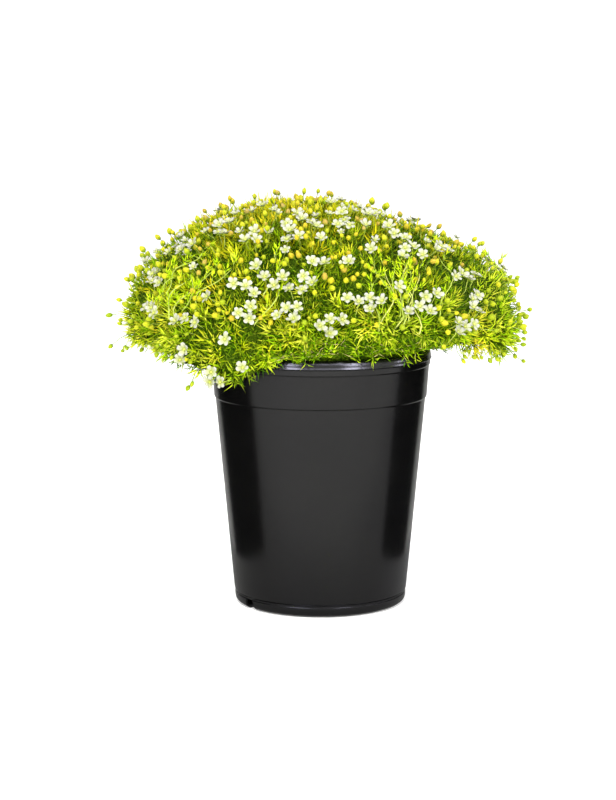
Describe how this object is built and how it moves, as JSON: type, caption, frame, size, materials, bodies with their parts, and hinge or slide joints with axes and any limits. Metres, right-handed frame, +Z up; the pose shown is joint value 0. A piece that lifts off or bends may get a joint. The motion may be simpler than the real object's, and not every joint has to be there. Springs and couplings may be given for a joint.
{
  "type": "potted irish moss",
  "caption": "Low dome of fine-leaved moss-like bedding plant with small white five-petalled blooms and round buds, growing in a plain tapered black nursery pot.",
  "frame": {"origin": "middle of the pot's flat underside, on the ground", "axes": "+Z up along the pot's axis, -Y towards the viewer of the picture, +X to the viewer's right"},
  "size_m": [0.2921, 0.2437, 0.2919],
  "materials": {
    "pot_plastic": "glossy black moulded plastic",
    "potting_mix": "moist dark peat and bark crumb",
    "moss_leaf": "matt yellow-green needle leaves on pale thin stems, with yellow-green buds",
    "petal": "soft matt white petals"
  },
  "bodies": {
    "root": {"bloom_spray_01": "petal", "bloom_spray_02": "petal", "bloom_spray_03": "petal", "bloom_spray_04": "petal", "bloom_spray_05": "petal", "bloom_spray_06": "petal", "bloom_spray_07": "petal", "bloom_spray_08": "petal", "bloom_spray_09": "petal", "bloom_spray_10": "petal", "bloom_spray_11": "petal", "bloom_spray_12": "petal", "bloom_spray_13": "petal", "bloom_spray_14": "petal", "bloom_spray_15": "petal", "bloom_spray_16": "petal", "bloom_spray_17": "petal", "bloom_spray_18": "petal", "bloom_spray_19": "petal", "bloom_spray_20": "petal", "bloom_spray_21": "petal", "bloom_spray_22": "petal", "bloom_spray_23": "petal", "bloom_spray_24": "petal", "bloom_spray_25": "petal", "bloom_spray_26": "petal", "bloom_spray_27": "petal", "bloom_spray_28": "petal", "bloom_spray_29": "petal", "bloom_spray_30": "petal", "bloom_spray_31": "petal", "bloom_spray_32": "petal", "bloom_spray_33": "petal", "bloom_spray_34": "petal", "bloom_spray_35": "petal", "bloom_spray_36": "petal", "bloom_spray_37": "petal", "bloom_spray_38": "petal", "bloom_spray_39": "petal", "bloom_spray_40": "petal", "bloom_spray_41": "petal", "bloom_spray_42": "petal", "bloom_spray_43": "petal", "bloom_spray_44": "petal", "bloom_spray_45": "petal", "bloom_spray_46": "petal", "moss_clump_01": "moss_leaf", "moss_clump_02": "moss_leaf", "moss_clump_03": "moss_leaf", "moss_clump_04": "moss_leaf", "moss_clump_05": "moss_leaf", "moss_clump_06": "moss_leaf", "moss_clump_07": "moss_leaf", "moss_clump_08": "moss_leaf", "moss_clump_09": "moss_leaf", "moss_clump_10": "moss_leaf", "moss_clump_11": "moss_leaf", "moss_clump_12": "moss_leaf", "pot": "pot_plastic", "soil": "potting_mix"}
  },
  "joints": []
}
